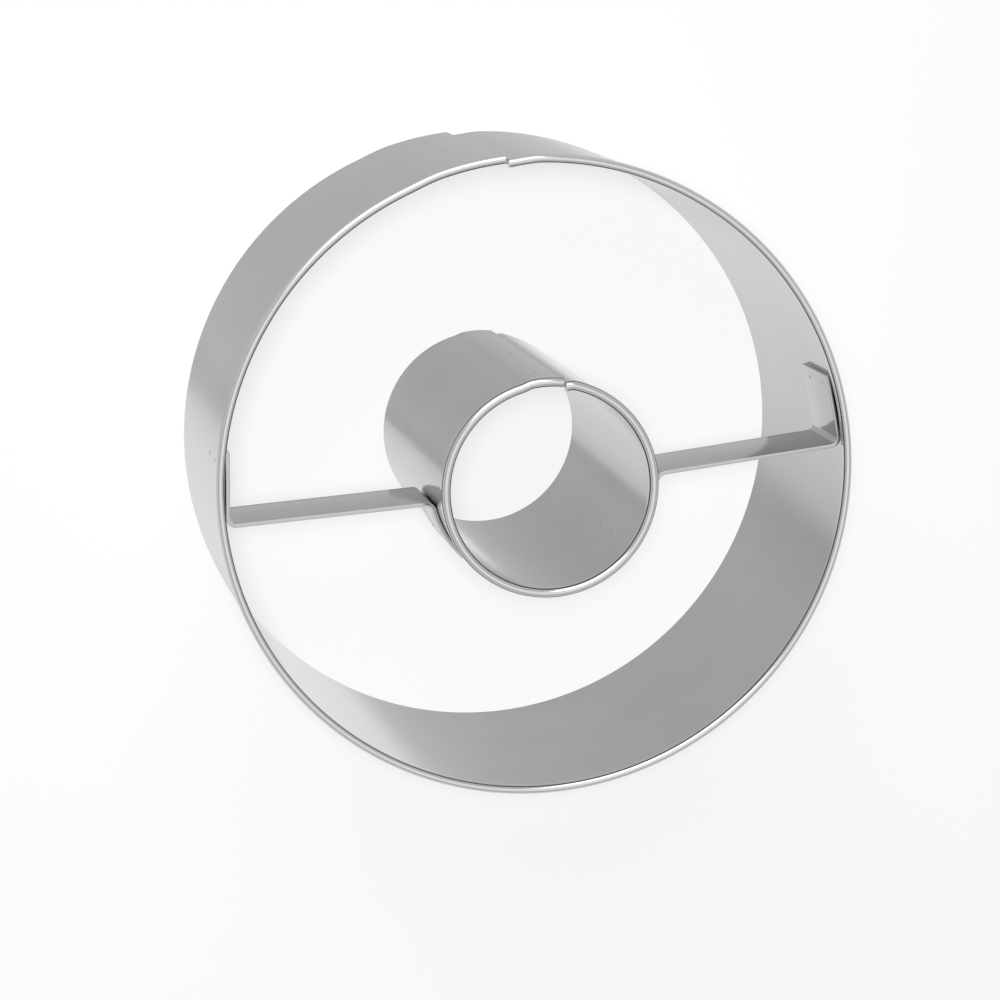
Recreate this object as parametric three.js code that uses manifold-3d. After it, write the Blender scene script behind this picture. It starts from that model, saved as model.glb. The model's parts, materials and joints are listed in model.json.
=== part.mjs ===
// Doughnut cutter: a small ring inside a large one, both rolled from steel strip, joined by two welded struts.
// Millimetres, +Z up. The cutting edges lie on z = 0, the folded safe rims are up and +X runs along the struts.

import * as THREE from "three";
import { mergeVertices } from "three/addons/utils/BufferGeometryUtils.js";
import Module from "manifold-3d";

const wasm = await Module();
wasm.setup();

// Sheet: every piece is cut from the same strip
const SHEET = 0.48;

// Rings: wall outer radius, height, the angle of the lapped seam, steps round the ring and hem slit
const OUTER_RING = { radius: 40, height: 38, seam: 90.4, steps: 90, slit: 0.1 };
const INNER_RING = { radius: 13.2, height: 44, seam: 77.4, steps: 60, slit: 0.2 };

// Hem: the rim is joggled inwards, folded over outwards and pressed flat against the wall
const HEM_RETURN = 1.3;
const HEM_JOGGLE = 0.28;
const JOGGLE_RISE = 0.6;
const CREST_STEPS = 8;

// Lap: the far end of the strip lies outside the near end, and the hem leaves a gap between them
const LAP_STEPS = 3;
const LAP_OUT = 0.2;
const LAP_CLEARANCE = 0.04;
const LAP_EASE_DEG = 7;
const HEM_GAP = 0.4;
const TONGUE_DROP = 2.4;

// Struts: flat strips on edge, with a straight tab inside the large ring and a curved tab round the small one
// Each strut's line slopes from +X and passes a little below the axis. Its outer tab lies between two wall angles,
// off the wall by a gap. Its inner tab hugs the small ring for a length and leaves it at an angle, towards a bend
const STRUTS = [
  {
    name: "right", side: 1, slope: 0.9, offset: -2.0,
    tabStart: -0.8, tabEnd: 11.1, tabGap: 0.05,
    touch: -39, hug: 2.5, bend: 1.3,
  },
  {
    name: "left", side: -1, slope: 1.9, offset: -1.85,
    tabStart: 0.4, tabEnd: 12.6, tabGap: 0.4,
    touch: -12.5, hug: 6.9, bend: 1.0,
  },
];
const STRUT_WIDTH = 10.5;
const STRUT_TOP = 36;
const BEND_RADIUS = 1.0;
const BEND_STEPS = 7;
const TAB_CLEARANCE = 0.05;
const INNER_TAB_STEPS = 8;

// Spot welds: a fused disc in a pocket shared by two sheets
const WELD_RADIUS = 0.8;
const WELD_DEPTH = 0.22;
const WELD_CLEARANCE = 0.02;
const WELD_SIDES = 20;
const OUTER_SEAM_WELDS = [7, 19];
const INNER_SEAM_WELDS = [21, 36];
const TAB_WELD_SPACING = 5.2;
const OUTER_TAB_WELD = 2.0;

const STEEL = { color: 0xa4a5a6, roughness: 0.34, metalness: 1.0 };
const WELD_STEEL = { color: 0x7c7c7d, roughness: 0.55, metalness: 1.0 };

const { degToRad, radToDeg, smoothstep } = THREE.MathUtils;

/** Turns a closed three.js geometry into a solid that can be joined and cut. */
function toSolid(geometry) {
  const bare = geometry.clone();
  bare.deleteAttribute("normal");
  bare.deleteAttribute("uv");
  const merged = mergeVertices(bare);
  const vertProperties = new Float32Array(merged.attributes.position.array);
  const triVerts = new Uint32Array(merged.index.array);
  return new wasm.Manifold(new wasm.Mesh({ numProp: 3, vertProperties, triVerts }));
}

/** Turns a solid back into a three.js geometry. */
function toGeometry(solid) {
  const mesh = solid.getMesh();
  const geometry = new THREE.BufferGeometry();
  geometry.setAttribute("position", new THREE.BufferAttribute(new Float32Array(mesh.vertProperties), 3));
  geometry.setIndex(new THREE.BufferAttribute(new Uint32Array(mesh.triVerts), 1));
  geometry.computeVertexNormals();
  return geometry;
}

/** The angle, in degrees, that a ring turns in one step of its outline. */
function stepAngle(ring) {
  return (360 - gapAngle(ring)) / ring.steps;
}

/** The angle that the gap between the two ends of a hem takes up. */
function gapAngle(ring) {
  return radToDeg(HEM_GAP / ring.radius);
}

/** The angle over which one end of a ring's strip lies under the other. */
function lapAngle(ring) {
  return LAP_STEPS * stepAngle(ring) - gapAngle(ring);
}

/** How far the strip stands from its nominal circle after a turn, counted clockwise from the seam. */
function lapShift(ring, turn) {
  const inwards = LAP_OUT - SHEET - LAP_CLEARANCE;
  const lap = lapAngle(ring);
  const sinking = inwards * (1 - smoothstep(turn, 0, LAP_EASE_DEG));
  const rising = LAP_OUT * smoothstep(turn, 360 - lap - LAP_EASE_DEG, 360 - lap);
  return sinking + rising;
}

/** The clockwise line that a ring's strip is rolled along, from one turn angle to another. */
class StripPath extends THREE.Curve {
  constructor(ring, from, to) {
    super();
    this.ring = ring;
    this.from = from;
    this.to = to;
  }

  /** A point on the outer face of the wall after a turn from the seam. */
  at(turn) {
    const angle = degToRad(this.ring.seam - turn);
    const radius = this.ring.radius + lapShift(this.ring, turn);
    return new THREE.Vector3(radius * Math.cos(angle), radius * Math.sin(angle), 0);
  }

  getPoint(t, target = new THREE.Vector3()) {
    return target.copy(this.at(THREE.MathUtils.lerp(this.from, this.to, t)));
  }

  getTangent(t, target = new THREE.Vector3()) {
    const turn = THREE.MathUtils.lerp(this.from, this.to, t);
    return target.copy(this.at(turn + 0.05)).sub(this.at(turn - 0.05)).normalize();
  }

  getUtoTmapping(u) {
    return u;
  }
}

/** A section's outline from points of height and distance outside the wall's outer face. */
function sectionShape(points) {
  return new THREE.Shape(points.map(([height, out]) => new THREE.Vector2(-height, out)));
}

/** The section of a wall whose rim is folded over outwards into a hem. */
function hemmedSection(ring) {
  const top = ring.height;
  const low = top - HEM_RETURN;
  const hemLine = ring.slit / 2 - HEM_JOGGLE;
  const crest = SHEET + ring.slit / 2;
  const outline = [
    [0, -SHEET],
    [0, 0],
    [low - JOGGLE_RISE, 0],
    [low, -HEM_JOGGLE],
    [top - crest, -HEM_JOGGLE],
    [top - SHEET, hemLine],
    [top - crest, ring.slit - HEM_JOGGLE],
    [low, ring.slit - HEM_JOGGLE],
    [low, ring.slit - HEM_JOGGLE + SHEET],
  ];
  for (let i = 0; i <= CREST_STEPS; i += 1) {
    const angle = (Math.PI * i) / CREST_STEPS;
    outline.push([top - crest + crest * Math.sin(angle), hemLine + crest * Math.cos(angle)]);
  }
  outline.push([low, -HEM_JOGGLE - SHEET]);
  outline.push([low - JOGGLE_RISE, -SHEET]);
  return sectionShape(outline);
}

/** The section of the plain tongue that runs under the lap. */
function tongueSection(ring) {
  const top = ring.height - TONGUE_DROP;
  return sectionShape([[0, -SHEET], [0, 0], [top, 0], [top, -SHEET]]);
}

/** A section carried along part of a ring's strip. */
function sweep(section, ring, from, to, steps) {
  return new THREE.ExtrudeGeometry(section, { steps, extrudePath: new StripPath(ring, from, to) });
}

/** A whole ring: the hemmed strip once round, with the tongue that its far end laps. */
function ringSolid(ring) {
  const gap = gapAngle(ring);
  const step = stepAngle(ring);
  const wall = toSolid(sweep(hemmedSection(ring), ring, gap, 360, ring.steps));
  const tongue = toSolid(sweep(tongueSection(ring), ring, -lapAngle(ring), gap + step, LAP_STEPS + 1));
  return wall.add(tongue);
}

/** A strut's inner tab: its distance out, where it leaves the ring, how far round it goes, its heading and corner. */
function innerTab(strut) {
  const distance = INNER_RING.radius + TAB_CLEARANCE + SHEET / 2;
  const touch = degToRad(strut.touch);
  const cornerX = (distance - strut.offset * Math.sin(touch)) / Math.cos(touch);
  return { distance, touch, round: strut.hug / distance, heading: touch + Math.PI / 2, cornerX };
}

/** The chord that a strut's outer tab lies on: its middle angle, half its opening and its distance out. */
function tabChord(strut) {
  const wallRadius = OUTER_RING.radius - SHEET;
  const middle = degToRad((strut.tabStart + strut.tabEnd) / 2);
  const half = degToRad((strut.tabEnd - strut.tabStart) / 2);
  return { wallRadius, middle, half, face: wallRadius * Math.cos(half) - strut.tabGap };
}

/** The middle line of a strut, in points with their headings, from the inner tab to the outer. */
function strutLine(strut) {
  const line = [];
  const add = (x, y, heading) => line.push({ x, y, heading });

  const tab = innerTab(strut);
  for (let i = 0; i <= INNER_TAB_STEPS; i += 1) {
    const angle = tab.touch - tab.round * (1 - i / INNER_TAB_STEPS);
    add(tab.distance * Math.cos(angle), tab.distance * Math.sin(angle), angle + Math.PI / 2);
  }
  const start = tab.cornerX + strut.bend * Math.tan(tab.heading / 2);
  for (let i = 0; i <= BEND_STEPS; i += 1) {
    const angle = tab.heading * (1 - i / BEND_STEPS);
    const fall = strut.bend * (1 - Math.cos(angle));
    add(start - strut.bend * Math.sin(angle), strut.offset - fall, angle);
  }

  const chord = tabChord(strut);
  const normal = chord.middle - degToRad(strut.slope);
  const distance = chord.face - SHEET / 2;
  const heading = normal + Math.PI / 2;
  const cornerX = (distance - strut.offset * Math.sin(normal)) / Math.cos(normal);
  const reach = BEND_RADIUS * Math.tan(heading / 2);
  for (let i = 0; i <= BEND_STEPS; i += 1) {
    const angle = (heading * i) / BEND_STEPS;
    const rise = BEND_RADIUS * (1 - Math.cos(angle));
    add(cornerX - reach + BEND_RADIUS * Math.sin(angle), strut.offset + rise, angle);
  }
  const halfTab = chord.wallRadius * Math.sin(chord.half);
  const endX = distance * Math.cos(normal) + halfTab * Math.cos(heading);
  const endY = distance * Math.sin(normal) + halfTab * Math.sin(heading);
  add(endX, endY, heading);
  return line;
}

/** A strut's solid: its middle line thickened to the sheet, raised on edge and turned to its slope. */
function strutSolid(strut) {
  const line = strutLine(strut);
  const offset = (point, distance) =>
    new THREE.Vector2(
      strut.side * (point.x - distance * Math.sin(point.heading)),
      point.y + distance * Math.cos(point.heading),
    );
  const left = line.map((point) => offset(point, SHEET / 2));
  const right = line.map((point) => offset(point, -SHEET / 2)).reverse();
  const shape = new THREE.Shape([...left, ...right]);
  const geometry = new THREE.ExtrudeGeometry(shape, { depth: STRUT_WIDTH, bevelEnabled: false });
  geometry.translate(0, 0, STRUT_TOP - STRUT_WIDTH);
  geometry.rotateZ(degToRad(strut.side * strut.slope));
  return toSolid(geometry);
}

/** A disc whose flat faces look along the radius at an angle, for a weld or for its pocket. */
function weldDisc(weld, growth) {
  const radius = WELD_RADIUS + growth;
  const geometry = new THREE.CylinderGeometry(radius, radius, weld.depth + 2 * growth, WELD_SIDES);
  const angle = degToRad(weld.angle);
  geometry.rotateZ(angle - Math.PI / 2);
  geometry.translate(weld.radius * Math.cos(angle), weld.radius * Math.sin(angle), weld.z);
  return geometry;
}

/** Where the seam of a ring is welded: in the middle of the lap, at the given heights. */
function seamWelds(name, ring, heights) {
  const turn = -lapAngle(ring) / 2;
  const radius = ring.radius + lapShift(ring, turn) + LAP_CLEARANCE / 2;
  const angle = ring.seam - turn;
  return heights.map((z, i) => ({ name: `${name}_${i + 1}`, angle, radius, z, depth: 2 * WELD_DEPTH }));
}

/** Where one tab of a strut is welded: a pair of discs across the width of the strip. */
function tabWelds(name, side, tabAngle, radius, gap) {
  const angle = side > 0 ? tabAngle : 180 - tabAngle;
  const middle = STRUT_TOP - STRUT_WIDTH / 2;
  return [-0.5, 0.5].map((half, i) => ({
    name: `${name}_${i + 1}`,
    angle,
    radius,
    z: middle + half * TAB_WELD_SPACING,
    depth: 2 * WELD_DEPTH + gap,
  }));
}

/** The welds of a strut's straight tab, near its free end, where it meets the large ring's wall. */
function outerTabWelds(strut) {
  const chord = tabChord(strut);
  const angle = strut.tabEnd - OUTER_TAB_WELD;
  const tabRadius = chord.face / Math.cos(degToRad(angle) - chord.middle);
  const radius = (chord.wallRadius + tabRadius) / 2;
  return tabWelds(`${strut.name}_outer_tab_weld`, strut.side, angle, radius, chord.wallRadius - tabRadius);
}

/** The welds of a strut's curved tab, in the middle of it, on the small ring's wall. */
function innerTabWelds(strut) {
  const tab = innerTab(strut);
  const angle = radToDeg(tab.touch - tab.round / 2) + strut.slope;
  const radius = INNER_RING.radius + TAB_CLEARANCE / 2;
  return tabWelds(`${strut.name}_inner_tab_weld`, strut.side, angle, radius, TAB_CLEARANCE);
}

/** A solid with the pockets of its welds cut out. */
function pocketed(solid, welds) {
  return welds.reduce((body, weld) => body.subtract(toSolid(weldDisc(weld, WELD_CLEARANCE))), solid);
}

/** A named mesh with a finish of its own. */
function piece(name, geometry, finish) {
  const mesh = new THREE.Mesh(geometry, new THREE.MeshStandardMaterial(finish));
  mesh.name = name;
  return mesh;
}

const cutter = new THREE.Group();
const rings = new THREE.Group();
const struts = new THREE.Group();
const welds = new THREE.Group();
cutter.add(rings, struts, welds);

const outerSeam = seamWelds("outer_seam_weld", OUTER_RING, OUTER_SEAM_WELDS);
const innerSeam = seamWelds("inner_seam_weld", INNER_RING, INNER_SEAM_WELDS);
const outerWelds = [...outerSeam, ...STRUTS.flatMap(outerTabWelds)];
const innerWelds = [...innerSeam, ...STRUTS.flatMap(innerTabWelds)];
rings.add(piece("outer_ring", toGeometry(pocketed(ringSolid(OUTER_RING), outerWelds)), STEEL));
rings.add(piece("inner_ring", toGeometry(pocketed(ringSolid(INNER_RING), innerWelds)), STEEL));
for (const strut of STRUTS) {
  const solid = pocketed(strutSolid(strut), [...outerTabWelds(strut), ...innerTabWelds(strut)]);
  struts.add(piece(`${strut.name}_strut`, toGeometry(solid), STEEL));
}
for (const weld of [...outerWelds, ...innerWelds]) {
  welds.add(piece(weld.name, weldDisc(weld, 0), WELD_STEEL));
}

export default cutter;
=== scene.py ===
"""Doughnut cutter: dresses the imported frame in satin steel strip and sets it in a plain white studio."""
from __future__ import annotations

import json
import logging
import math
from dataclasses import dataclass
from enum import Enum
from typing import Sequence

import bmesh
import bpy
from mathutils import Matrix, Vector

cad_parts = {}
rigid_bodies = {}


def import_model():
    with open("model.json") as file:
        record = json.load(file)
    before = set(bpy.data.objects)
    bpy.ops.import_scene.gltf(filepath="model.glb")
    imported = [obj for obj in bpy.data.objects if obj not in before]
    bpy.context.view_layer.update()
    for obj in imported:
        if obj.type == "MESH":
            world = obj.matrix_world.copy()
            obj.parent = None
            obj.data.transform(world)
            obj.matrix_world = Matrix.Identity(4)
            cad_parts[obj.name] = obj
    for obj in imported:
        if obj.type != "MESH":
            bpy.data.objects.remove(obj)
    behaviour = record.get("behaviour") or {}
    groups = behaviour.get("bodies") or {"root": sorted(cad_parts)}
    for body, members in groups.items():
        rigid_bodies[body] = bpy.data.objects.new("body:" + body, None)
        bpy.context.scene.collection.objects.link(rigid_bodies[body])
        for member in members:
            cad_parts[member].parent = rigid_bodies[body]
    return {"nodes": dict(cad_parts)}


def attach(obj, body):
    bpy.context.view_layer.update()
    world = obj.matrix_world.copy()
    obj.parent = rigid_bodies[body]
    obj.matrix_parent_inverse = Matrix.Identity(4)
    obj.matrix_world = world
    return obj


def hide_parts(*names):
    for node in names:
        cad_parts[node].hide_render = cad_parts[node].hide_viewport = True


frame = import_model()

LOG = logging.getLogger("doughnut_cutter")

MM = 0.001
IMAGE_PIXELS = 1000
SENSOR_MM = 36.0
BODY = "root"

# Sockets of a Mix node that mixes colours
MIX_FACTOR, MIX_FIRST, MIX_SECOND, MIX_RESULT = 0, 6, 7, 2

# Colours of the strip of the small ring and of the struts: the same steel as the large ring, painted
# darker as shade, and with no lighter rim
SHADED_DARK = (0.45, 0.452, 0.455)
SHADED_LIGHT = (0.50, 0.502, 0.505)
SHADED_RIM = (0.50, 0.50, 0.50)

Point = tuple[float, float]
Triple = tuple[float, float, float]
Mark = tuple[Vector, Vector]
Socket = bpy.types.NodeSocket


class Side(Enum):
    """The side of the small ring that a strut is on, as the sign of its X."""

    RIGHT = 1
    LEFT = -1


class Face(Enum):
    """The face of a wall that a weld mark shows on, as the sign of its outward direction."""

    OUTSIDE = 1
    INSIDE = -1


@dataclass(frozen=True)
class Strip:
    """The steel strip that every piece is cut from, in millimetres."""

    sheet: float = 0.48
    edge_round: float = 0.07
    tab_clearance: float = 0.05
    lap_clearance: float = 0.04


@dataclass(frozen=True)
class Hem:
    """The folded rim of a ring, with the short straight runs beside its bends, in millimetres."""

    turned_down: float = 1.3
    joggle: float = 0.28
    joggle_rise: float = 0.6
    tongue_drop: float = 2.4
    run_below_joggle: float = 0.2
    run_above_joggle: float = 0.1
    run_below_fold: float = 0.05


@dataclass(frozen=True)
class Steps:
    """How many stretches the lines of the strips are cut into."""

    edge: int = 4
    wall: int = 8
    joggle: int = 10
    slit: int = 8
    crest: int = 24
    tongue: int = 40
    bend: int = 16
    inner_tab: int = 24
    strut: int = 12
    outer_tab: int = 6


@dataclass(frozen=True)
class RingSizes:
    """A rolled ring, in millimetres, but in degrees for its seam, its lap and the gap in its rim."""

    node: str
    radius: float
    height: float
    seam: float
    slit: float
    lap: float
    gap: float
    weld_heights: tuple[float, ...]


@dataclass(frozen=True)
class StrutSizes:
    """A bent strut, in millimetres, but in degrees for its slope and for the angles on the rings.

    Its outer tab runs from tab_start to tab_end on the large ring. Its inner tab hugs the small ring
    for a length of hug and leaves it at the angle touch, in a straight line to a bend of radius bend.
    """

    node: str
    side: Side
    slope: float
    offset: float
    tab_start: float
    tab_end: float
    tab_gap: float
    touch: float
    hug: float
    bend: float


STRIP = Strip()
HEM = Hem()
STEPS = Steps()
OUTER = RingSizes(
    "outer_ring", radius=40.0, height=38.0, seam=90.4, slit=0.10, lap=11.41, gap=0.573,
    weld_heights=(7.0, 19.0),
)
INNER = RingSizes(
    "inner_ring", radius=13.2, height=44.0, seam=77.4, slit=0.20, lap=16.18, gap=1.736,
    weld_heights=(21.0, 36.0),
)
RIGHT = StrutSizes(
    "right_strut", Side.RIGHT, slope=0.9, offset=-2.0, tab_start=-0.8, tab_end=11.1, tab_gap=0.05,
    touch=-39.0, hug=2.5, bend=1.3,
)
LEFT = StrutSizes(
    "left_strut", Side.LEFT, slope=1.9, offset=-1.85, tab_start=0.4, tab_end=12.6, tab_gap=0.40,
    touch=-12.5, hug=6.9, bend=1.0,
)

# A lapped end stands out by so many millimetres, and eases out over so many degrees
LAP_OUT = 0.2
LAP_EASE = 7.0

# Struts, in millimetres, and how many degrees the outer tab's welds lie in from its end
STRUT_WIDTH = 10.5
STRUT_TOP = 36.0
OUTER_BEND = 1.0
TAB_WELD_SPACING = 5.2
OUTER_TAB_WELD = 2.0

# Faces of a wall stop short of its rounded edges by so many times the rounding
EDGE_MARGIN = 2.5

# Meshes: a crease in degrees, the gap closed where a tongue joins its ring in millimetres, and the
# distance between doubles in metres
CREASE_ANGLE = 15.0
JOIN_GAP = 0.012
DOUBLES_GAP = 1e-8


def smooth(value: float) -> float:
    """Returns the smooth step of a value between 0 and 1."""
    t = min(max(value, 0.0), 1.0)
    return t * t * (3.0 - 2.0 * t)


def arc(centre: Point, radius: float, start: float, end: float, steps: int) -> list[Point]:
    """Makes the points of an arc, both ends included.

    Args:
        centre: The arc's centre.
        radius: Its radius.
        start: The angle of its first point, in degrees.
        end: The angle of its last point, in degrees.
        steps: How many stretches it is cut into.

    Returns:
        The points in order.
    """
    angles = [math.radians(start + (end - start) * i / steps) for i in range(steps + 1)]
    return [(centre[0] + radius * math.cos(a), centre[1] + radius * math.sin(a)) for a in angles]


def spread(start: Point, end: Point, steps: int) -> list[Point]:
    """Returns points evenly spread between two points, both left out."""
    return [
        (start[0] + (end[0] - start[0]) * i / steps, start[1] + (end[1] - start[1]) * i / steps)
        for i in range(1, steps)
    ]


@dataclass(frozen=True)
class Relief:
    """How strongly a bumpy surface shows, and its depth in metres."""

    strength: float
    depth: float


class NodeKit:
    """Adds nodes to one tree and joins them."""

    def __init__(self, tree: bpy.types.NodeTree) -> None:
        """Keeps the tree and empties it."""
        self.tree = tree
        tree.nodes.clear()

    def add(self, kind: str, **settings: object) -> bpy.types.Node:
        """Adds a node.

        Args:
            kind: The node's type.
            settings: Properties to set on it.

        Returns:
            The new node.
        """
        node = self.tree.nodes.new(kind)
        for name, value in settings.items():
            setattr(node, name, value)
        return node

    def join(self, source: Socket | float | tuple, target: Socket) -> None:
        """Links a socket to an input, or sets the input where the source is a plain value."""
        if isinstance(source, bpy.types.NodeSocket):
            self.tree.links.new(source, target)
        else:
            target.default_value = source

    def maths(self, operation: str, *terms: Socket | float) -> Socket:
        """Adds a Math node for its terms and returns its result."""
        node = self.add("ShaderNodeMath", operation=operation)
        for term, target in zip(terms, node.inputs):
            self.join(term, target)
        return node.outputs[0]

    def remap(self, value: Socket, low: Socket | float, high: Socket | float, to: Point = (0.0, 1.0),
              how: str = "LINEAR") -> Socket:
        """Carries a value from one range to another.

        Args:
            value: What is carried over.
            low: The value that gives the first end of the new range.
            high: The value that gives the second end.
            to: The new range.
            how: Blender's interpolation type.

        Returns:
            The carried value.
        """
        node = self.add("ShaderNodeMapRange", interpolation_type=how)
        self.join(value, node.inputs["Value"])
        self.join(low, node.inputs["From Min"])
        self.join(high, node.inputs["From Max"])
        node.inputs["To Min"].default_value = to[0]
        node.inputs["To Max"].default_value = to[1]
        return node.outputs["Result"]

    def ramp(self, value: Socket, low: float, high: float, tones: Sequence[Point]) -> Socket:
        """Gives a value a grey tone.

        Args:
            value: What the tone depends on.
            low: The value at the ramp's start.
            high: The value at its end.
            tones: Pairs of a value and the grey there.

        Returns:
            The grey as a colour.
        """
        node = self.add("ShaderNodeValToRGB")
        self.join(self.remap(value, low, high), node.inputs["Fac"])
        stops = node.color_ramp.elements
        while len(stops) < len(tones):
            stops.new(0.5)
        for stop, (at, tone) in zip(stops, tones):
            stop.position = (at - low) / (high - low)
            stop.color = (tone, tone, tone, 1.0)
        return node.outputs["Color"]

    def noise(self, place: Socket, scale: Triple, detail: float) -> Socket:
        """Returns noise stretched by a scale along each axis."""
        stretch = self.add("ShaderNodeMapping")
        stretch.inputs["Scale"].default_value = scale
        self.join(place, stretch.inputs["Vector"])
        noise = self.add("ShaderNodeTexNoise")
        noise.inputs["Scale"].default_value = 1.0
        noise.inputs["Detail"].default_value = detail
        self.join(stretch.outputs["Vector"], noise.inputs["Vector"])
        return noise.outputs["Fac"]

    def share(self, first: Socket, second: Socket, part: float) -> Socket:
        """Returns the sum of a part of one value and the rest of another."""
        rest = self.maths("MULTIPLY", second, 1.0 - part)
        return self.maths("ADD", self.maths("MULTIPLY", first, part), rest)

    def blend(self, share: Socket, first: Socket | Triple, second: Socket | Triple) -> Socket:
        """Mixes two colours by a share and returns the mix."""
        mix = self.add("ShaderNodeMix", data_type="RGBA")
        self.join(share, mix.inputs[MIX_FACTOR])
        for colour, at in ((first, MIX_FIRST), (second, MIX_SECOND)):
            made = isinstance(colour, bpy.types.NodeSocket)
            self.join(colour if made else (*colour, 1.0), mix.inputs[at])
        return mix.outputs[MIX_RESULT]

    def bump(self, height: Socket, relief: Relief, under: Socket | None = None) -> Socket:
        """Adds relief to what lies under it.

        Args:
            height: The relief's height, from 0 to 1.
            relief: How strong and how deep it is.
            under: The normal that it is added to, if any.

        Returns:
            The new normal.
        """
        node = self.add("ShaderNodeBump")
        node.inputs["Strength"].default_value = relief.strength
        node.inputs["Distance"].default_value = relief.depth
        self.join(height, node.inputs["Height"])
        if under is not None:
            self.join(under, node.inputs["Normal"])
        return node.outputs["Normal"]


class GeometryTree:
    """A Geometry Nodes tree with named inputs, ready to be put on an object."""

    def __init__(self, name: str) -> None:
        """Starts an empty tree with a geometry input and output."""
        self.tree = bpy.data.node_groups.new(name, "GeometryNodeTree")
        self.kit = NodeKit(self.tree)
        self.ids: dict[str, str] = {}
        self.tree.interface.new_socket(name="Geometry", in_out="OUTPUT", socket_type="NodeSocketGeometry")
        self.tree.interface.new_socket(name="Geometry", in_out="INPUT", socket_type="NodeSocketGeometry")
        self.source = self.kit.add("NodeGroupInput")
        self.sink = self.kit.add("NodeGroupOutput")

    def named(self, name: str, kind: str = "NodeSocketFloat") -> Socket:
        """Adds a named input and returns the socket that carries it inside the tree."""
        item = self.tree.interface.new_socket(name=name, in_out="INPUT", socket_type=kind)
        self.ids[name] = item.identifier
        return self.source.outputs[name]

    def end(self, geometry: Socket, material: Socket) -> None:
        """Ends the tree with smooth shading, realised instances and a material.

        Args:
            geometry: The finished geometry.
            material: The material input.
        """
        shade = self.kit.add("GeometryNodeSetShadeSmooth")
        realise = self.kit.add("GeometryNodeRealizeInstances")
        dress = self.kit.add("GeometryNodeSetMaterial")
        self.kit.join(geometry, shade.inputs["Geometry"])
        self.kit.join(shade.outputs["Geometry"], realise.inputs["Geometry"])
        self.kit.join(realise.outputs["Geometry"], dress.inputs["Geometry"])
        self.kit.join(material, dress.inputs["Material"])
        self.kit.join(dress.outputs["Geometry"], self.sink.inputs["Geometry"])

    def run(self, seed: bpy.types.Mesh, values: dict[str, object]) -> bpy.types.Mesh:
        """Runs the tree on a seed mesh and returns the result as a plain mesh.

        Args:
            seed: The mesh that the tree starts from.
            values: Its inputs by name.

        Returns:
            The mesh that it makes.
        """
        holder = bpy.data.objects.new(f"{self.tree.name}_seed", seed)
        bpy.context.scene.collection.objects.link(holder)
        modifier = holder.modifiers.new(self.tree.name, "NODES")
        modifier.node_group = self.tree
        for name, value in values.items():
            modifier[self.ids[name]] = value
        holder.update_tag()
        depsgraph = bpy.context.evaluated_depsgraph_get()
        depsgraph.update()
        mesh = bpy.data.meshes.new_from_object(holder.evaluated_get(depsgraph), depsgraph=depsgraph)
        holder.modifiers.remove(modifier)
        bpy.data.objects.remove(holder)
        bpy.data.meshes.remove(seed)
        return mesh


def edge_mesh(name: str, points: list[Vector], closed: bool) -> bpy.types.Mesh:
    """Makes a mesh of a line of edges.

    Args:
        name: The mesh's name.
        points: The points in order.
        closed: Whether the last point joins the first.

    Returns:
        The mesh.
    """
    count = len(points)
    edges = [(i, (i + 1) % count) for i in range(count if closed else count - 1)]
    mesh = bpy.data.meshes.new(name)
    mesh.from_pydata(points, edges, [])
    return mesh


def rolled_strip_tree() -> GeometryTree:
    """Builds the tree that rolls a section into a ring whose ends lap each other."""
    tree = GeometryTree("rolled_strip")
    kit = tree.kit
    radius = tree.named("Radius")
    seam = tree.named("Seam")
    first = tree.named("First Turn")
    last = tree.named("Last Turn")
    steps = tree.named("Steps", "NodeSocketInt")
    lap = tree.named("Lap")
    ease = tree.named("Ease")
    sink = tree.named("Sink")
    rise = tree.named("Rise")
    material = tree.named("Material", "NodeSocketMaterial")

    section = kit.add("GeometryNodeMeshToCurve")
    kit.join(tree.source.outputs["Geometry"], section.inputs["Mesh"])
    line = kit.add("GeometryNodeCurvePrimitiveLine")
    cut = kit.add("GeometryNodeResampleCurve", mode="COUNT")
    kit.join(line.outputs["Curve"], cut.inputs["Curve"])
    kit.join(steps, cut.inputs["Count"])

    share = kit.add("GeometryNodeSplineParameter").outputs["Factor"]
    turn = kit.maths("ADD", last, kit.maths("MULTIPLY", share, kit.maths("SUBTRACT", first, last)))
    sunk = kit.maths("MULTIPLY", sink, kit.remap(turn, 0.0, ease, (1.0, 0.0), "SMOOTHSTEP"))
    lap_turn = kit.maths("SUBTRACT", math.tau, lap)
    risen = kit.remap(turn, kit.maths("SUBTRACT", lap_turn, ease), lap_turn, how="SMOOTHSTEP")
    lift = kit.maths("ADD", sunk, kit.maths("MULTIPLY", rise, risen))
    out = kit.maths("ADD", radius, lift)
    angle = kit.maths("SUBTRACT", seam, turn)
    place = kit.add("ShaderNodeCombineXYZ")
    kit.join(kit.maths("MULTIPLY", out, kit.maths("COSINE", angle)), place.inputs["X"])
    kit.join(kit.maths("MULTIPLY", out, kit.maths("SINE", angle)), place.inputs["Y"])
    path = kit.add("GeometryNodeSetPosition")
    kit.join(cut.outputs["Curve"], path.inputs["Geometry"])
    kit.join(place.outputs["Vector"], path.inputs["Position"])

    upright = kit.add("GeometryNodeSetCurveNormal", mode="Z_UP")
    kit.join(path.outputs["Geometry"], upright.inputs["Curve"])
    sweep = kit.add("GeometryNodeCurveToMesh")
    kit.join(upright.outputs["Curve"], sweep.inputs["Curve"])
    kit.join(section.outputs["Curve"], sweep.inputs["Profile Curve"])
    sweep.inputs["Fill Caps"].default_value = True
    tree.end(sweep.outputs["Mesh"], material)
    return tree


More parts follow.
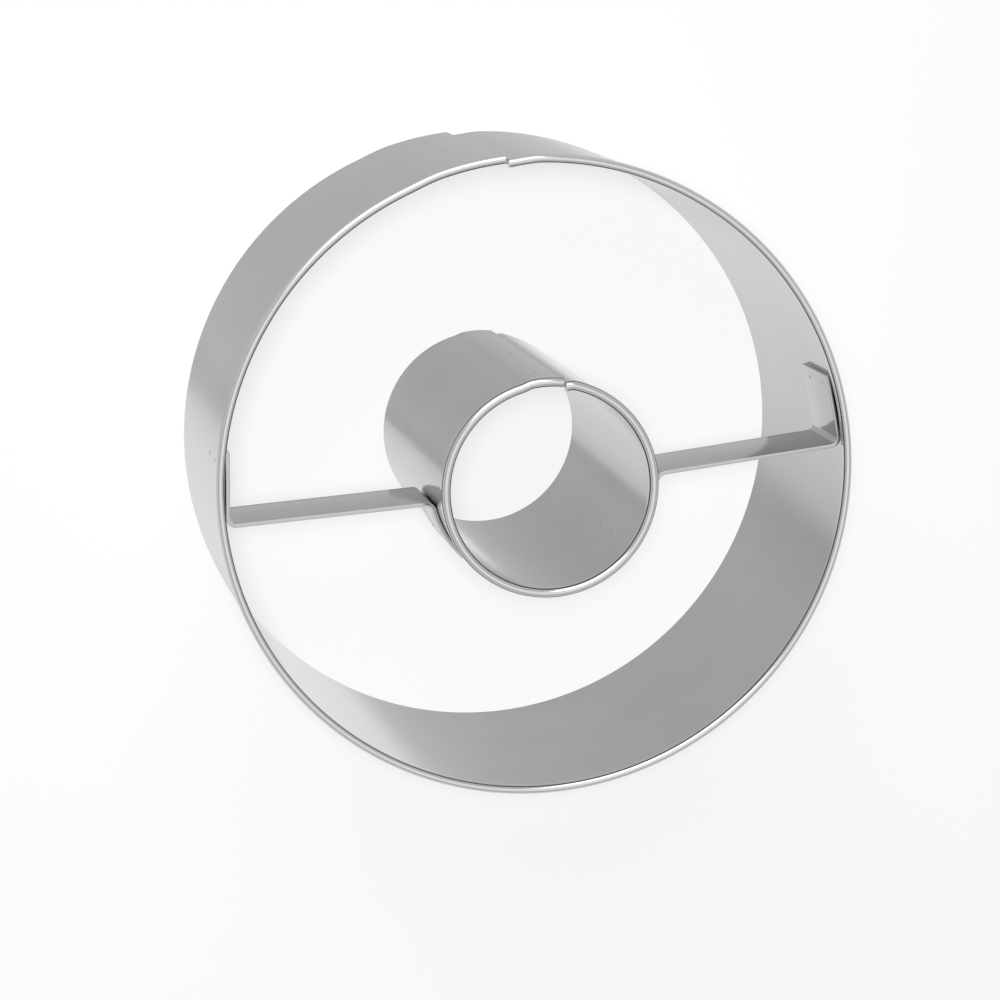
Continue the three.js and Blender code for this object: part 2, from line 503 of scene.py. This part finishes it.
def bent_strip_tree() -> GeometryTree:
    """Builds the tree that carries a flat strip, on edge and with rounded corners, along a bent line."""
    tree = GeometryTree("bent_strip")
    kit = tree.kit
    sheet = tree.named("Sheet")
    width = tree.named("Width")
    edge = tree.named("Edge Round")
    material = tree.named("Material", "NodeSocketMaterial")

    line = kit.add("GeometryNodeMeshToCurve")
    kit.join(tree.source.outputs["Geometry"], line.inputs["Mesh"])
    upright = kit.add("GeometryNodeSetCurveNormal", mode="Z_UP")
    kit.join(line.outputs["Curve"], upright.inputs["Curve"])
    section = kit.add("GeometryNodeCurvePrimitiveQuadrilateral")
    kit.join(sheet, section.inputs["Width"])
    kit.join(width, section.inputs["Height"])
    rounded = kit.add("GeometryNodeFilletCurve", mode="POLY")
    kit.join(section.outputs["Curve"], rounded.inputs["Curve"])
    kit.join(edge, rounded.inputs["Radius"])
    rounded.inputs["Count"].default_value = STEPS.edge
    sweep = kit.add("GeometryNodeCurveToMesh")
    kit.join(upright.outputs["Curve"], sweep.inputs["Curve"])
    kit.join(rounded.outputs["Curve"], sweep.inputs["Profile Curve"])
    sweep.inputs["Fill Caps"].default_value = True
    tree.end(sweep.outputs["Mesh"], material)
    return tree


@dataclass(frozen=True)
class MarkForm:
    """The form of a weld's mark: a flat core inside a thin hoop.

    The core is a share of the mark's radius, and the hoop a multiple of its height.
    """

    core_share: float = 0.74
    core_segments: int = 20
    core_rings: int = 10
    hoop_height: float = 1.6
    hoop_points: int = 28
    wire_points: int = 8


def weld_mark_tree(form: MarkForm) -> GeometryTree:
    """Builds the tree that sets a shallow mark, as a weld's electrode leaves, on each of its points."""
    tree = GeometryTree("weld_marks")
    kit = tree.kit
    radius = tree.named("Radius")
    height = tree.named("Height")
    material = tree.named("Material", "NodeSocketMaterial")

    core = kit.add("GeometryNodeMeshUVSphere")
    core.inputs["Segments"].default_value = form.core_segments
    core.inputs["Rings"].default_value = form.core_rings
    kit.join(kit.maths("MULTIPLY", radius, form.core_share), core.inputs["Radius"])
    flat = kit.add("GeometryNodeTransform")
    squeeze = kit.add("ShaderNodeCombineXYZ")
    squeeze.inputs["X"].default_value = 1.0
    squeeze.inputs["Y"].default_value = 1.0
    kit.join(kit.maths("DIVIDE", height, radius), squeeze.inputs["Z"])
    kit.join(core.outputs["Mesh"], flat.inputs["Geometry"])
    kit.join(squeeze.outputs["Vector"], flat.inputs["Scale"])

    hoop = kit.add("GeometryNodeCurvePrimitiveCircle")
    hoop.inputs["Resolution"].default_value = form.hoop_points
    kit.join(radius, hoop.inputs["Radius"])
    wire = kit.add("GeometryNodeCurvePrimitiveCircle")
    wire.inputs["Resolution"].default_value = form.wire_points
    kit.join(kit.maths("MULTIPLY", height, form.hoop_height), wire.inputs["Radius"])
    rim = kit.add("GeometryNodeCurveToMesh")
    kit.join(hoop.outputs["Curve"], rim.inputs["Curve"])
    kit.join(wire.outputs["Curve"], rim.inputs["Profile Curve"])
    mark = kit.add("GeometryNodeJoinGeometry")
    kit.join(flat.outputs["Geometry"], mark.inputs["Geometry"])
    kit.join(rim.outputs["Mesh"], mark.inputs["Geometry"])

    spots = kit.add("GeometryNodeMeshToPoints")
    kit.join(tree.source.outputs["Geometry"], spots.inputs["Mesh"])
    facing = kit.add("GeometryNodeInputNamedAttribute", data_type="FLOAT_VECTOR")
    facing.inputs["Name"].default_value = "facing"
    turn = kit.add("FunctionNodeAlignRotationToVector", axis="Z")
    kit.join(facing.outputs["Attribute"], turn.inputs["Vector"])
    stamp = kit.add("GeometryNodeInstanceOnPoints")
    kit.join(spots.outputs["Points"], stamp.inputs["Points"])
    kit.join(mark.outputs["Geometry"], stamp.inputs["Instance"])
    kit.join(turn.outputs["Rotation"], stamp.inputs["Rotation"])
    tree.end(stamp.outputs["Instances"], material)
    return tree


@dataclass(frozen=True)
class SatinSteel:
    """Rolled stainless strip: a soft sheen with fine grain along its length and a few marks of handling.

    Lengths are in metres and colours are linear. Shares and ranges are of the noise that gives each trait.
    """

    name: str
    rim_height: float
    dark: Triple = (0.49, 0.492, 0.495)
    light: Triple = (0.54, 0.542, 0.545)
    # A lighter colour towards the rim: partly polish, partly a painted highlight on the folded edge
    rim_polish_and_highlight: Triple = (0.70, 0.70, 0.70)
    pit: Triple = (0.20, 0.20, 0.20)
    roughness: Point = (0.13, 0.19)
    anisotropy: float = 0.3
    noise_range: Point = (0.3, 0.7)
    grain_scale: Triple = (70.0, 70.0, 5200.0)
    grain_detail: float = 3.0
    grain_relief: Relief = Relief(0.05, 0.00001)
    grain_in_roughness: float = 0.6
    cloud_scale: float = 70.0
    cloud_detail: float = 3.0
    cloud_in_colour: float = 0.8
    wave_scale: float = 34.0
    wave_detail: float = 1.0
    wave_relief: Relief = Relief(0.10, 0.0003)
    scratch_scale: Triple = (2400.0, 2400.0, 60.0)
    scratch_detail: float = 1.0
    scratch_range: Point = (0.70, 0.78)
    scratch_relief: Relief = Relief(0.05, 0.00001)
    scratch_roughness: float = 0.05
    rim_start: float = 0.0012
    rim_full: float = 0.0002
    # The share of that lighter rim colour, polish and painted highlight, that is blended in
    rim_polish_and_highlight_share: float = 0.75
    rim_smoothing: float = 0.06
    pit_scale: float = 260.0
    pit_range: Point = (0.05, 0.09)
    pit_choice: float = 0.93
    pit_share: float = 0.3

    def build(self) -> bpy.types.Material:
        """Builds the material and returns it."""
        material = bpy.data.materials.new(self.name)
        material.use_nodes = True
        kit = NodeKit(material.node_tree)
        place = kit.add("ShaderNodeTexCoord").outputs["Object"]
        grain = kit.noise(place, self.grain_scale, self.grain_detail)
        scratch = kit.noise(place, self.scratch_scale, self.scratch_detail)
        cloud = kit.noise(place, (self.cloud_scale,) * 3, self.cloud_detail)
        wave = kit.noise(place, (self.wave_scale,) * 3, self.wave_detail)

        height = kit.add("ShaderNodeSeparateXYZ")
        kit.join(place, height.inputs["Vector"])
        start, full = self.rim_height - self.rim_start, self.rim_height - self.rim_full
        rim = kit.remap(height.outputs["Z"], start, full)
        lines = kit.remap(scratch, *self.scratch_range)
        pits = self.pits(kit, place)

        tone = kit.share(cloud, grain, self.cloud_in_colour)
        colour = kit.blend(kit.remap(tone, *self.noise_range), self.dark, self.light)
        # Lighter towards the rim: partly polish, partly a painted highlight
        colour = kit.blend(kit.maths("MULTIPLY", rim, self.rim_polish_and_highlight_share), colour, self.rim_polish_and_highlight)
        colour = kit.blend(kit.maths("MULTIPLY", pits, self.pit_share), colour, self.pit)

        matt = kit.share(grain, cloud, self.grain_in_roughness)
        matt = kit.remap(matt, *self.noise_range, self.roughness)
        matt = kit.maths("ADD", matt, kit.maths("MULTIPLY", lines, self.scratch_roughness))
        matt = kit.maths("SUBTRACT", matt, kit.maths("MULTIPLY", rim, self.rim_smoothing))

        relief = kit.bump(wave, self.wave_relief)
        relief = kit.bump(grain, self.grain_relief, relief)
        relief = kit.bump(kit.maths("SUBTRACT", 0.0, lines), self.scratch_relief, relief)

        shader = kit.add("ShaderNodeBsdfPrincipled")
        shader.inputs["Metallic"].default_value = 1.0
        shader.inputs["Anisotropic"].default_value = self.anisotropy
        kit.join(colour, shader.inputs["Base Color"])
        kit.join(matt, shader.inputs["Roughness"])
        kit.join(relief, shader.inputs["Normal"])
        tangent = kit.add("ShaderNodeTangent", direction_type="RADIAL", axis="Z")
        kit.join(tangent.outputs["Tangent"], shader.inputs["Tangent"])
        end = kit.add("ShaderNodeOutputMaterial")
        kit.join(shader.outputs["BSDF"], end.inputs["Surface"])
        return material

    def pits(self, kit: NodeKit, place: Socket) -> Socket:
        """Returns 1 in a few small pits and 0 elsewhere."""
        cells = kit.add("ShaderNodeTexVoronoi", feature="F1")
        cells.inputs["Scale"].default_value = self.pit_scale
        kit.join(place, cells.inputs["Vector"])
        spot = kit.remap(cells.outputs["Distance"], *self.pit_range, (1.0, 0.0))
        chosen = kit.add("ShaderNodeSeparateColor")
        kit.join(cells.outputs["Color"], chosen.inputs["Color"])
        few = kit.maths("GREATER_THAN", chosen.outputs["Red"], self.pit_choice)
        return kit.maths("MULTIPLY", spot, few)


@dataclass(frozen=True)
class WeldMetal:
    """The dull, slightly scorched steel of a spot weld's mark."""

    name: str = "weld_mark"
    scorched: Triple = (0.40, 0.40, 0.40)
    bare: Triple = (0.50, 0.50, 0.50)
    roughness: Point = (0.22, 0.34)
    scale: float = 5200.0
    detail: float = 2.0
    noise_range: Point = (0.3, 0.7)
    relief: Relief = Relief(0.3, 0.00002)

    def build(self) -> bpy.types.Material:
        """Builds the material and returns it."""
        material = bpy.data.materials.new(self.name)
        material.use_nodes = True
        kit = NodeKit(material.node_tree)
        place = kit.add("ShaderNodeTexCoord").outputs["Object"]
        speckle = kit.noise(place, (self.scale,) * 3, self.detail)
        shader = kit.add("ShaderNodeBsdfPrincipled")
        shader.inputs["Metallic"].default_value = 1.0
        kit.join(kit.blend(speckle, self.scorched, self.bare), shader.inputs["Base Color"])
        kit.join(kit.remap(speckle, *self.noise_range, self.roughness), shader.inputs["Roughness"])
        kit.join(kit.bump(speckle, self.relief), shader.inputs["Normal"])
        end = kit.add("ShaderNodeOutputMaterial")
        kit.join(shader.outputs["BSDF"], end.inputs["Surface"])
        return material


def finish_mesh(raw: bmesh.types.BMesh, sources: list[bpy.types.Mesh], name: str) -> bpy.types.Mesh:
    """Closes a mesh's doubles, turns its faces outwards and keeps its creases crisp.

    Args:
        raw: The mesh as it was built; it is freed.
        sources: The meshes that it was built from; they are removed.
        name: The new mesh's name.

    Returns:
        The finished mesh, with the first source's materials.
    """
    bmesh.ops.remove_doubles(raw, verts=raw.verts, dist=DOUBLES_GAP)
    bmesh.ops.recalc_face_normals(raw, faces=raw.faces)
    result = bpy.data.meshes.new(name)
    raw.to_mesh(result)
    raw.free()
    result.set_sharp_from_angle(angle=math.radians(CREASE_ANGLE))
    for material in sources[0].materials:
        result.materials.append(material)
    for source in sources:
        bpy.data.meshes.remove(source)
    return result


def loose(mesh: bpy.types.Mesh) -> bmesh.types.BMesh:
    """Returns a mesh's geometry, free to be edited."""
    raw = bmesh.new()
    raw.from_mesh(mesh)
    return raw


def put(name: str, mesh: bpy.types.Mesh, slot: str, *nodes: str) -> None:
    """Makes a piece of the object out of a mesh, in place of some nodes of the frame.

    Args:
        name: The piece's name.
        mesh: Its finished mesh.
        slot: Not used.
        nodes: The nodes that it stands for.
    """
    piece = bpy.data.objects.new(name, mesh)
    bpy.context.scene.collection.objects.link(piece)
    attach(piece, BODY)
    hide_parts(*nodes)
    LOG.info("%s: %d faces, stands for %s", name, len(mesh.polygons), ", ".join(nodes))


@dataclass
class RolledRing:
    """A ring rolled from strip, with a folded rim and lapped ends."""

    sizes: RingSizes
    strip: Strip = STRIP
    hem: Hem = HEM
    steps: int = 440

    def section(self) -> list[Point]:
        """Returns the hemmed section as points of distance outside the wall's face and height."""
        sheet, edge = self.strip.sheet, self.strip.edge_round
        top = self.sizes.height
        low = top - self.hem.turned_down
        foot = low - self.hem.joggle_rise
        slit, joggle = self.sizes.slit, self.hem.joggle
        crest = sheet + slit / 2
        bend = top - crest
        line = slit / 2 - joggle
        flap = slit - joggle
        points = self.foot_edge() + self.side(0.0)
        points += [(0.0, foot - self.hem.run_below_joggle)]
        points += self.joggled(0.0, foot, low)
        points += [(-joggle, low + self.hem.run_above_joggle), (-joggle, bend - self.hem.run_below_fold)]
        points += arc((line, bend), slit / 2, 180.0, 0.0, STEPS.slit)
        points += [(flap, bend - self.hem.run_below_fold), (flap, low + edge)]
        points += arc((flap + edge, low + edge), edge, 180.0, 270.0, STEPS.edge)[1:]
        points += arc((flap + sheet - edge, low + edge), edge, 270.0, 360.0, STEPS.edge)
        points += [(flap + sheet, low + edge * 2)]
        points += arc((line, bend), crest, 0.0, 180.0, STEPS.crest)
        points += [(-joggle - sheet, low + self.hem.run_above_joggle)]
        points += list(reversed(self.joggled(-sheet, foot, low)))
        points += [(-sheet, foot - self.hem.run_below_joggle)]
        points += list(reversed(self.side(-sheet)))
        return points

    def side(self, face: float) -> list[Point]:
        """Returns one face of the wall, upwards from the cutting edge to the shoulder of the tongue."""
        margin = self.strip.edge_round * EDGE_MARGIN
        low = (face, margin)
        high = (face, self.sizes.height - self.hem.tongue_drop - margin)
        return [low] + spread(low, high, STEPS.wall) + [high]

    def foot_edge(self) -> list[Point]:
        """Returns the rounded cutting edge, from the inner face to the outer."""
        sheet, edge = self.strip.sheet, self.strip.edge_round
        points = arc((-sheet + edge, edge), edge, 180.0, 270.0, STEPS.edge)
        return points + arc((-edge, edge), edge, 270.0, 360.0, STEPS.edge)

    def joggled(self, face: float, foot: float, low: float) -> list[Point]:
        """Returns the soft step by which a face of the wall moves in under the rim.

        Args:
            face: Where the face stands below the step.
            foot: The height at which the step begins.
            low: The height at which it ends.

        Returns:
            The points, upwards.
        """
        return [
            (face - self.hem.joggle * smooth(i / STEPS.joggle), foot + (low - foot) * i / STEPS.joggle)
            for i in range(STEPS.joggle + 1)
        ]

    def tongue_section(self) -> list[Point]:
        """Returns the section of the plain tongue that runs under the lap."""
        sheet, edge = self.strip.sheet, self.strip.edge_round
        top = self.sizes.height - self.hem.tongue_drop
        points = self.foot_edge() + self.side(0.0)
        points += arc((-edge, top - edge), edge, 0.0, 90.0, STEPS.edge)
        points += arc((-sheet + edge, top - edge), edge, 90.0, 180.0, STEPS.edge)
        points += list(reversed(self.side(-sheet)))
        return points

    def roll(self, tree: GeometryTree, section: list[Point], first: float, last: float, steps: int,
             material: bpy.types.Material) -> bpy.types.Mesh:
        """Rolls a section between two turns from the seam.

        Args:
            tree: The tree that rolls it.
            section: The section's points.
            first: The turn, in degrees, at which it begins.
            last: The turn at which it ends.
            steps: How many points its path has.
            material: Its finish.

        Returns:
            The rolled mesh.
        """
        points = [Vector((out * MM, -height * MM, 0.0)) for out, height in section]
        sink = LAP_OUT - self.strip.sheet - self.strip.lap_clearance
        return tree.run(
            edge_mesh(f"{self.sizes.node}_section", points, True),
            {
                "Radius": self.sizes.radius * MM,
                "Seam": math.radians(self.sizes.seam),
                "First Turn": math.radians(first),
                "Last Turn": math.radians(last),
                "Steps": steps,
                "Lap": math.radians(self.sizes.lap),
                "Ease": math.radians(LAP_EASE),
                "Sink": sink * MM,
                "Rise": LAP_OUT * MM,
                "Material": material,
            },
        )

    def build(self, tree: GeometryTree, material: bpy.types.Material) -> None:
        """Builds the ring with its tongue and puts it in place of its node."""
        lap, gap = self.sizes.lap, self.sizes.gap
        ring = self.roll(tree, self.section(), gap, 360.0, self.steps, material)
        tongue = self.roll(tree, self.tongue_section(), -lap, gap, STEPS.tongue, material)
        mesh = finish_mesh(self.join_tongue(ring, tongue), [ring, tongue], f"{self.sizes.node}_strip")
        put(f"{self.sizes.node}_strip", mesh, "steel_strip", self.sizes.node)

    def join_tongue(self, ring: bpy.types.Mesh, tongue: bpy.types.Mesh) -> bmesh.types.BMesh:
        """Joins the tongue to the ring's first section, so that both are one closed strip.

        Args:
            ring: The rolled ring, whose path ends where the tongue begins.
            tongue: The rolled tongue, whose path begins there.

        Returns:
            Both in one mesh.
        """
        joined = loose(ring)
        joined.from_mesh(tongue)
        joined.verts.ensure_lookup_table()
        first = len(ring.vertices)
        ring_end = set(joined.verts[first - len(self.section()):first])
        tongue_end = set(joined.verts[first:first + len(self.tongue_section())])
        caps = [face for face in joined.faces if set(face.verts) in (ring_end, tongue_end)]
        bmesh.ops.delete(joined, geom=caps, context="FACES_ONLY")
        shared: dict[bmesh.types.BMVert, bmesh.types.BMVert] = {}
        for corner in tongue_end:
            nearest = min(ring_end, key=lambda other: (other.co - corner.co).length)
            if (nearest.co - corner.co).length < JOIN_GAP * MM:
                shared[corner] = nearest
        bmesh.ops.weld_verts(joined, targetmap=shared)
        open_edges = [edge for edge in joined.edges if edge.is_boundary]
        bmesh.ops.holes_fill(joined, edges=open_edges, sides=0)
        return joined

    def seam_welds(self) -> list[Mark]:
        """Returns the places and facings of the marks that the seam's welds leave on both faces."""
        angle = math.radians(self.sizes.seam + self.sizes.lap / 2)
        outside = self.sizes.radius + LAP_OUT
        inside = outside - 2 * self.strip.sheet - self.strip.lap_clearance
        return [
            radial_mark(angle, radius, height, face)
            for height in self.sizes.weld_heights
            for radius, face in ((outside, Face.OUTSIDE), (inside, Face.INSIDE))
        ]


def radial_mark(angle: float, radius: float, height: float, face: Face) -> Mark:
    """Returns the place and facing of a mark on a wall, from its angle, radius and height."""
    out = Vector((math.cos(angle), math.sin(angle), 0.0))
    place = out * radius * MM + Vector((0.0, 0.0, height * MM))
    return place, out * face.value


@dataclass
class Strut:
    """A strip on edge between the rings, with a straight outer tab and a curved inner one."""

    sizes: StrutSizes
    strip: Strip = STRIP

    def inner_tab(self) -> tuple[float, float, float]:
        """Returns the inner tab's radius, the angle where it leaves the ring and the one it spans."""
        distance = INNER.radius + self.strip.tab_clearance + self.strip.sheet / 2
        return distance, math.radians(self.sizes.touch), self.sizes.hug / distance

    def chord(self) -> tuple[float, float, float]:
        """Returns the middle angle, half angle and distance of the chord that the outer tab lies on."""
        wall = OUTER.radius - self.strip.sheet
        middle = math.radians((self.sizes.tab_start + self.sizes.tab_end) / 2)
        half = math.radians((self.sizes.tab_end - self.sizes.tab_start) / 2)
        return middle, half, wall * math.cos(half) - self.sizes.tab_gap

    def line(self) -> list[Point]:
        """Returns the strut's middle line from the inner tab to the outer, along +X."""
        distance, touch, round_by = self.inner_tab()
        offset, bend = self.sizes.offset, self.sizes.bend
        begin = math.degrees(touch - round_by)
        points = arc((0.0, 0.0), distance, begin, self.sizes.touch, STEPS.inner_tab)
        corner = (distance - offset * math.sin(touch)) / math.cos(touch)
        heading = touch + math.pi / 2
        centre = (corner + bend * math.tan(heading / 2), offset - bend)
        points += arc(centre, bend, math.degrees(heading) + 90.0, 90.0, STEPS.bend)

        middle, half, face = self.chord()
        normal = middle - math.radians(self.sizes.slope)
        distance = face - self.strip.sheet / 2
        heading = normal + math.pi / 2
        corner = (distance - offset * math.sin(normal)) / math.cos(normal)
        start = corner - OUTER_BEND * math.tan(heading / 2)
        points += spread(points[-1], (start, offset), STEPS.strut)
        centre = (start, offset + OUTER_BEND)
        points += arc(centre, OUTER_BEND, -90.0, math.degrees(heading) - 90.0, STEPS.bend)
        reach = (OUTER.radius - self.strip.sheet) * math.sin(half)
        tip = (
            distance * math.cos(normal) + reach * math.cos(heading),
            distance * math.sin(normal) + reach * math.sin(heading),
        )
        points += spread(points[-1], tip, STEPS.outer_tab) + [tip]
        return points

    def build(self, tree: GeometryTree, material: bpy.types.Material) -> None:
        """Builds the strut and puts it in place of its node."""
        side = self.sizes.side.value
        turn = Matrix.Rotation(math.radians(side * self.sizes.slope), 3, "Z")
        height = STRUT_TOP - STRUT_WIDTH / 2
        points = [turn @ Vector((side * x, y, height)) * MM for x, y in self.line()]
        mesh = tree.run(
            edge_mesh(f"{self.sizes.node}_line", points, False),
            {
                "Sheet": self.strip.sheet * MM,
                "Width": STRUT_WIDTH * MM,
                "Edge Round": self.strip.edge_round * MM,
                "Material": material,
            },
        )
        mesh = finish_mesh(loose(mesh), [mesh], f"{self.sizes.node}_strip")
        put(f"{self.sizes.node}_strip", mesh, "steel_strip", self.sizes.node)

    def tab_welds(self) -> list[Mark]:
        """Returns the places and facings of the marks that the welds of both tabs leave."""
        sheet = self.strip.sheet
        middle, _, face = self.chord()
        outer = math.radians(self.sizes.tab_end - OUTER_TAB_WELD)
        tab = face / math.cos(outer - middle) - sheet
        _, touch, round_by = self.inner_tab()
        inner = touch - round_by / 2 + math.radians(self.sizes.slope)
        ringed = INNER.radius + self.strip.tab_clearance + sheet
        marks = []
        for half in (-0.5, 0.5):
            height = STRUT_TOP - STRUT_WIDTH / 2 + half * TAB_WELD_SPACING
            marks.append(radial_mark(self.sided(outer), tab, height, Face.INSIDE))
            marks.append(radial_mark(self.sided(outer), OUTER.radius, height, Face.OUTSIDE))
            marks.append(radial_mark(self.sided(inner), ringed, height, Face.OUTSIDE))
            marks.append(radial_mark(self.sided(inner), INNER.radius - sheet, height, Face.INSIDE))
        return marks

    def sided(self, angle: float) -> float:
        """Returns an angle of the right side, mirrored where the strut is on the left."""
        return angle if self.sizes.side is Side.RIGHT else math.pi - angle


@dataclass
class WeldMarks:
    """The small round marks that spot welding leaves on the faces of the strips, in millimetres."""

    nodes: list[str]
    radius: float = 0.26
    height: float = 0.008

    def build(self, tree: GeometryTree, material: bpy.types.Material, marks: list[Mark]) -> None:
        """Stamps a mark on each place and puts them, as one piece, in place of the weld nodes.

        Args:
            tree: The tree that stamps them.
            material: Their finish.
            marks: Their places and facings.
        """
        seed = bpy.data.meshes.new("weld_places")
        seed.from_pydata([place for place, _ in marks], [], [])
        facing = seed.attributes.new("facing", "FLOAT_VECTOR", "POINT")
        for i, (_, direction) in enumerate(marks):
            facing.data[i].vector = direction
        values = {"Radius": self.radius * MM, "Height": self.height * MM, "Material": material}
        mesh = tree.run(seed, values)
        mesh = finish_mesh(loose(mesh), [mesh], "weld_marks")
        put("weld_marks", mesh, "weld_steel", *self.nodes)


@dataclass(frozen=True)
class Lamp:
    """A square lamp aimed at the origin, in metres and watts, which the metal may mirror or not."""

    name: str
    place: Triple
    side: float
    power: float
    mirrored: bool

    def build(self) -> None:
        """Hangs the lamp."""
        data = bpy.data.lights.new(self.name, "AREA")
        data.shape = "SQUARE"
        data.size = self.side
        data.energy = self.power
        lamp = bpy.data.objects.new(self.name, data)
        lamp.visible_glossy = self.mirrored
        lamp.location = self.place
        aim = -Vector(self.place)
        lamp.rotation_mode = "QUATERNION"
        lamp.rotation_quaternion = aim.to_track_quat("-Z", "Y")
        bpy.context.scene.collection.objects.link(lamp)


@dataclass
class Studio:
    """The white floor, soft lamps, shaded surroundings and camera.

    Lengths are in metres and angles in degrees. Tones are pairs of a direction and the grey there:
    rising_tones go by its upward part, and round_tones by its turn from bright_heading.
    """

    eye: Triple = (-0.07752, 0.08497, 0.42473)
    target: Triple = (-0.00203, -0.00572, 0.020)
    roll: float = -6.01
    focal_pixels: float = 3260.5
    clip: Point = (0.01, 50.0)
    floor_side: float = 6.0
    floor_tone: float = 0.95
    floor_glow: float = 0.7
    rising_tones: tuple[Point, ...] = (
        (-0.1, 0.86), (0.15, 0.80), (0.40, 0.60), (0.72, 0.58), (0.88, 0.95), (0.97, 1.10),
    )
    bright_heading: float = -85.0
    round_tones: tuple[Point, ...] = (
        (-180.0, 0.59), (-120.0, 0.63), (-103.0, 0.57), (-93.0, 0.54), (-87.5, 0.80),
        (-65.0, 0.90), (-15.0, 0.89), (12.0, 0.84), (25.0, 0.76), (38.0, 0.76),
        (52.0, 0.95), (91.0, 1.0), (103.0, 0.68), (125.0, 0.63), (180.0, 0.59),
    )
    narrowing_height: Point = (-0.985, -0.93)
    narrowing: Point = (1.36, 0.95)
    round_to_rising: Point = (-0.6, 0.0)
    diffuse_strength: float = 0.12
    lamps: tuple[Lamp, ...] = (
        Lamp("front_lamp", (-0.097, 0.108, 0.53), side=0.06, power=2.1, mirrored=False),
        Lamp("back_lamp", (-0.12, 0.72, 0.62), side=0.8, power=3.4, mirrored=True),
    )

    def build(self) -> None:
        """Builds the whole studio."""
        bpy.context.scene.view_settings.view_transform = "Standard"
        self.lay_floor()
        self.shade_world()
        for lamp in self.lamps:
            lamp.build()
        self.aim_camera()

    def lay_floor(self) -> None:
        """Lays the white floor under the cutter; the metal doesn't mirror it."""
        half = self.floor_side / 2
        corners = [(-half, -half, 0.0), (half, -half, 0.0), (half, half, 0.0), (-half, half, 0.0)]
        mesh = bpy.data.meshes.new("floor")
        mesh.from_pydata(corners, [], [(0, 1, 2, 3)])
        floor = bpy.data.objects.new("floor", mesh)
        bpy.context.scene.collection.objects.link(floor)
        material = bpy.data.materials.new("floor_white")
        material.use_nodes = True
        kit = NodeKit(material.node_tree)
        lit = kit.add("ShaderNodeBsdfDiffuse")
        lit.inputs["Color"].default_value = (self.floor_tone,) * 3 + (1.0,)
        plain = kit.add("ShaderNodeEmission")
        path = kit.add("ShaderNodeLightPath")
        mix = kit.add("ShaderNodeMixShader")
        glow = kit.remap(path.outputs["Is Camera Ray"], 0.0, 1.0, (0.0, self.floor_glow))
        kit.join(glow, mix.inputs["Fac"])
        kit.join(lit.outputs["BSDF"], mix.inputs[1])
        kit.join(plain.outputs["Emission"], mix.inputs[2])
        end = kit.add("ShaderNodeOutputMaterial")
        kit.join(mix.outputs["Shader"], end.inputs["Surface"])
        mesh.materials.append(material)
        floor.visible_glossy = False

    def shade_world(self) -> None:
        """Makes surroundings whose grey turns with the heading below, and rises with the height above."""
        world = bpy.data.worlds.new("studio_surroundings")
        bpy.context.scene.world = world
        world.use_nodes = True
        kit = NodeKit(world.node_tree)
        way = kit.add("ShaderNodeSeparateXYZ")
        kit.join(kit.add("ShaderNodeTexCoord").outputs["Generated"], way.inputs["Vector"])
        heading = kit.maths("ARCTAN2", way.outputs["Y"], way.outputs["X"])
        turn = kit.maths("SUBTRACT", heading, math.radians(self.bright_heading))
        turn = kit.maths("WRAP", turn, math.pi, -math.pi)
        narrowing = kit.remap(way.outputs["Z"], *self.narrowing_height, self.narrowing)
        low = kit.ramp(kit.maths("MULTIPLY", turn, narrowing), -math.pi, math.pi,
                       [(math.radians(degrees), tone) for degrees, tone in self.round_tones])
        high = kit.ramp(way.outputs["Z"], -1.0, 1.0, self.rising_tones)
        rising = kit.remap(way.outputs["Z"], *self.round_to_rising, how="SMOOTHSTEP")
        light = kit.add("ShaderNodeBackground")
        kit.join(kit.blend(rising, low, high), light.inputs["Color"])
        path = kit.add("ShaderNodeLightPath")
        strength = kit.remap(path.outputs["Is Diffuse Ray"], 0.0, 1.0, (1.0, self.diffuse_strength))
        kit.join(strength, light.inputs["Strength"])
        end = kit.add("ShaderNodeOutputWorld")
        kit.join(light.outputs["Background"], end.inputs["Surface"])

    def aim_camera(self) -> None:
        """Sets the camera at the photograph's viewing angle."""
        ahead = (Vector(self.target) - Vector(self.eye)).normalized()
        level = ahead.cross(Vector((0.0, 1.0, 0.0))).normalized()
        upright = level.cross(ahead)
        roll = math.radians(self.roll)
        right = level * math.cos(roll) + upright * math.sin(roll)
        data = bpy.data.cameras.new("camera")
        data.sensor_width = SENSOR_MM
        data.lens = self.focal_pixels * SENSOR_MM / IMAGE_PIXELS
        data.clip_start, data.clip_end = self.clip
        camera = bpy.data.objects.new("camera", data)
        turn = Matrix((right, (-ahead).cross(right), -ahead)).transposed()
        camera.matrix_world = Matrix.Translation(self.eye) @ turn.to_4x4()
        bpy.context.scene.collection.objects.link(camera)
        bpy.context.scene.camera = camera


def main() -> None:
    """Builds the cutter's pieces in order, logging each one's faces, then the studio."""
    logging.basicConfig(level=logging.INFO, format="%(name)s: %(message)s")
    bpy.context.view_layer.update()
    outer_steel = SatinSteel("outer_ring_steel", OUTER.height * MM).build()
    # The small ring and the struts take the darker colours: painted shade
    inner_steel = SatinSteel(
        "inner_ring_steel", INNER.height * MM, dark=SHADED_DARK, light=SHADED_LIGHT,
    ).build()
    strut_steel = SatinSteel(
        "strut_steel", STRUT_TOP * MM, dark=SHADED_DARK, light=SHADED_LIGHT, rim_polish_and_highlight=SHADED_RIM,
        anisotropy=0.0,
    ).build()

    rolled = rolled_strip_tree()
    outer, inner = RolledRing(OUTER), RolledRing(INNER, steps=300)
    outer.build(rolled, outer_steel)
    inner.build(rolled, inner_steel)

    bent = bent_strip_tree()
    struts = [Strut(RIGHT), Strut(LEFT)]
    for strut in struts:
        strut.build(bent, strut_steel)

    marks = outer.seam_welds() + inner.seam_welds()
    for strut in struts:
        marks += strut.tab_welds()
    weld_nodes = sorted(name for name in frame["nodes"] if "_weld_" in name)
    WeldMarks(weld_nodes).build(weld_mark_tree(MarkForm()), WeldMetal().build(), marks)

    Studio().build()


if __name__ == "__main__":
    main()
